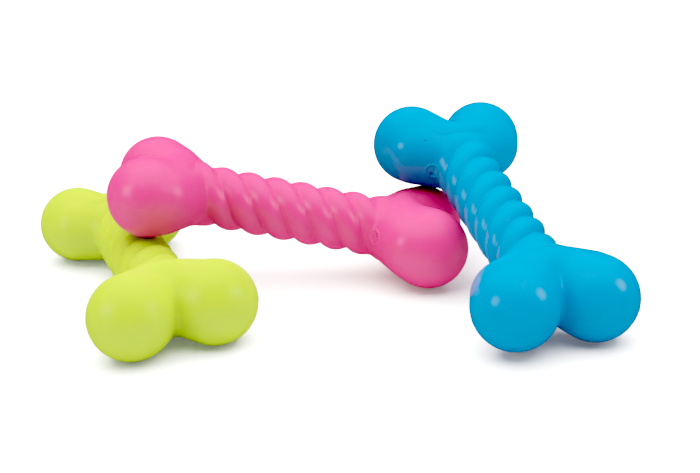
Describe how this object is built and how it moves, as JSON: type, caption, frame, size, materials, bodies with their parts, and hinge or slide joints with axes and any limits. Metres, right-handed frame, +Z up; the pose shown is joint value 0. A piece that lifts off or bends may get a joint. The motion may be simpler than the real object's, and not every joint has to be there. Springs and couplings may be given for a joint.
{
  "type": "rubber chew toy set",
  "caption": "Dog-bone chew toys of solid rubber with round lobed ends and a rope-twist shaft to grip and bite, stacked on each other",
  "frame": {"origin": "middle of the set's footprint, on the surface that it rests on", "axes": "+X to the right along the set's longest side, +Y to its back, +Z up"},
  "size_m": [0.2395, 0.1602, 0.065],
  "materials": {
    "lime_rubber": "smooth satin moulded rubber, yellow-green",
    "pink_rubber": "smooth satin moulded rubber, pink",
    "blue_rubber": "smooth satin moulded rubber, sky blue"
  },
  "bodies": {
    "lime": {"lime_bone": "lime_rubber"},
    "pink": {"pink_bone": "pink_rubber"},
    "blue": {"blue_bone": "blue_rubber"}
  },
  "joints": [
    {"name": "pink_lift", "type": "slide", "parent": "lime", "child": "pink", "axis": [0, 0, 1], "range_m": [0, 0.06]},
    {"name": "blue_lift", "type": "slide", "parent": "pink", "child": "blue", "axis": [0, 0, 1], "range_m": [0, 0.08]}
  ]
}
